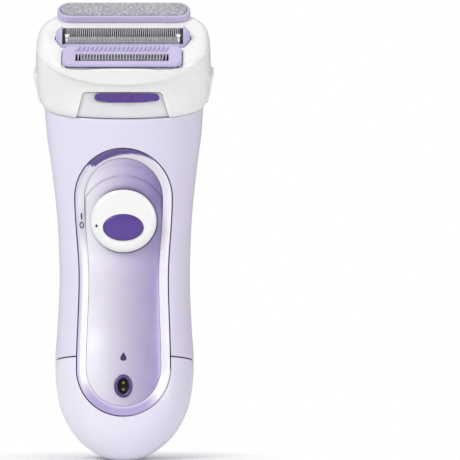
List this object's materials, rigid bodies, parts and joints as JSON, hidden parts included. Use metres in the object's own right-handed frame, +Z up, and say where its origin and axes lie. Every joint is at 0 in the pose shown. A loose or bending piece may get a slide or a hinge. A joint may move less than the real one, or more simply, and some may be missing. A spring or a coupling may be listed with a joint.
{
  "type": "lady shaver",
  "caption": "Cordless lady shaver held upright: curved handle with sliding power switch and charging socket, tilted head with floating foil, trimmer comb and exfoliating pad.",
  "frame": {"origin": "middle of the whole shaver's outline seen from above, level with the lowest point of its rounded end", "axes": "+Z up along the shaver's length, -Y to the front with the switch and the trimmer, +X to the viewer's right"},
  "size_m": [0.0614, 0.0534, 0.1558],
  "materials": {
    "lilac_shell": "satin",
    "pale_lilac_shell": "satin",
    "white_plastic": "gloss",
    "inner_white": "matte",
    "trim_lilac": "satin",
    "panel_lilac": "pearl gloss",
    "purple_plastic": "satin",
    "plum_plastic": "gloss",
    "black_plastic": "matte",
    "circuit_laminate": "satin",
    "seal_rubber": "matte",
    "shaving_steel": "brushed",
    "plain_steel": "satin",
    "contact_brass": "satin",
    "cell_sleeve": "printed sleeve, plain",
    "abrasive_pad": "gritty matte"
  },
  "bodies": {
    "handle": {"front_housing": "lilac_shell", "rear_housing": "lilac_shell", "bottom_shell": "pale_lilac_shell", "seam_gasket": "seal_rubber", "panel_bezel": "trim_lilac", "front_panel": "panel_lilac", "socket_bezel": "plum_plastic", "socket_insulator": "black_plastic", "socket_pin_upper": "contact_brass", "socket_pin_lower": "contact_brass", "cell_left": "cell_sleeve", "cell_right": "cell_sleeve", "cell_contact_left": "contact_brass", "cell_contact_right": "contact_brass", "cell_bridge": "contact_brass", "cell_rack": "inner_white", "circuit_board": "circuit_laminate", "micro_switch": "black_plastic", "motor_can": "plain_steel", "motor_end_cap": "black_plastic", "motor_deck": "inner_white", "deck_screw_left": "plain_steel", "deck_screw_right": "plain_steel", "neck_collar": "inner_white", "drive_seal": "seal_rubber"},
    "switch": {"switch_slider": "white_plastic", "switch_pad": "purple_plastic"},
    "rotor": {"motor_shaft": "plain_steel", "crank_disc": "contact_brass", "crank_pin": "plain_steel"},
    "bridge": {"swing_bridge": "inner_white", "drive_pin": "plain_steel"},
    "head": {"head_shell": "white_plastic", "head_base": "white_plastic", "head_floor": "inner_white", "foil_spring_left": "plain_steel", "foil_spring_right": "plain_steel"},
    "lock": {"trimmer_lock": "purple_plastic"},
    "button_left": {"release_button_left": "white_plastic"},
    "button_right": {"release_button_right": "white_plastic"},
    "cassette": {"foil_frame": "trim_lilac", "foil": "shaving_steel", "foil_end_left": "trim_lilac", "foil_end_right": "trim_lilac"},
    "cutter": {"cutter_carrier": "inner_white", "cutter_blades": "shaving_steel"},
    "trimmer": {"trimmer_guard": "trim_lilac", "fixed_comb": "shaving_steel"},
    "trimmer_cutter": {"trimmer_blade": "shaving_steel"},
    "exfoliator": {"exfoliator_frame": "trim_lilac", "exfoliator_pad": "abrasive_pad"}
  },
  "joints": [
    {"name": "power_switch", "type": "slide", "parent": "handle", "child": "switch", "axis": [0, -0.1083, 0.9941], "range_m": [0, 0.003]},
    {"name": "motor_spin", "type": "hinge", "parent": "handle", "child": "rotor", "pos_m": [0, 0.00057, 0.1215], "axis": [0, -0.3306, 0.9438], "continuous": true},
    {"name": "bridge_swing", "type": "slide", "parent": "handle", "child": "bridge", "axis": [1, 0, 0], "range_m": [-0.0009, 0.0009], "stiffness_N_per_m": 150},
    {"name": "head_release", "type": "slide", "parent": "handle", "child": "head", "axis": [0, -0.3306, 0.9438], "range_m": [0, 0.03]},
    {"name": "trimmer_lock_slide", "type": "slide", "parent": "head", "child": "lock", "axis": [-1, 0, 0], "range_m": [0, 0.003]},
    {"name": "release_button_left_press", "type": "slide", "parent": "head", "child": "button_left", "axis": [1, 0, 0], "range_m": [0, 0.0007], "stiffness_N_per_m": 300, "springref_m": -0.0005},
    {"name": "release_button_right_press", "type": "slide", "parent": "head", "child": "button_right", "axis": [-1, 0, 0], "range_m": [0, 0.0007], "stiffness_N_per_m": 300, "springref_m": -0.0005},
    {"name": "foil_float", "type": "slide", "parent": "head", "child": "cassette", "axis": [0, 0.5878, -0.809], "range_m": [0, 0.001], "stiffness_N_per_m": 300, "springref_m": -0.0008, "deforming": ["foil_spring_left", "foil_spring_right"]},
    {"name": "cutter_swing", "type": "slide", "parent": "cassette", "child": "cutter", "axis": [1, 0, 0], "range_m": [-0.0009, 0.0009]},
    {"name": "trimmer_float", "type": "slide", "parent": "head", "child": "trimmer", "axis": [0, 0.5878, -0.809], "range_m": [0, 0.0008], "stiffness_N_per_m": 300, "springref_m": -0.0008},
    {"name": "trimmer_swing", "type": "slide", "parent": "trimmer", "child": "trimmer_cutter", "axis": [1, 0, 0], "range_m": [-0.0009, 0.0009]},
    {"name": "exfoliator_lift", "type": "slide", "parent": "head", "child": "exfoliator", "axis": [0, -0.5878, 0.809], "range_m": [0, 0.008]}
  ],
  "couplings": [
    {"joint": "cutter_swing", "follows": "bridge_swing", "ratio": 1},
    {"joint": "trimmer_swing", "follows": "bridge_swing", "ratio": 1}
  ]
}
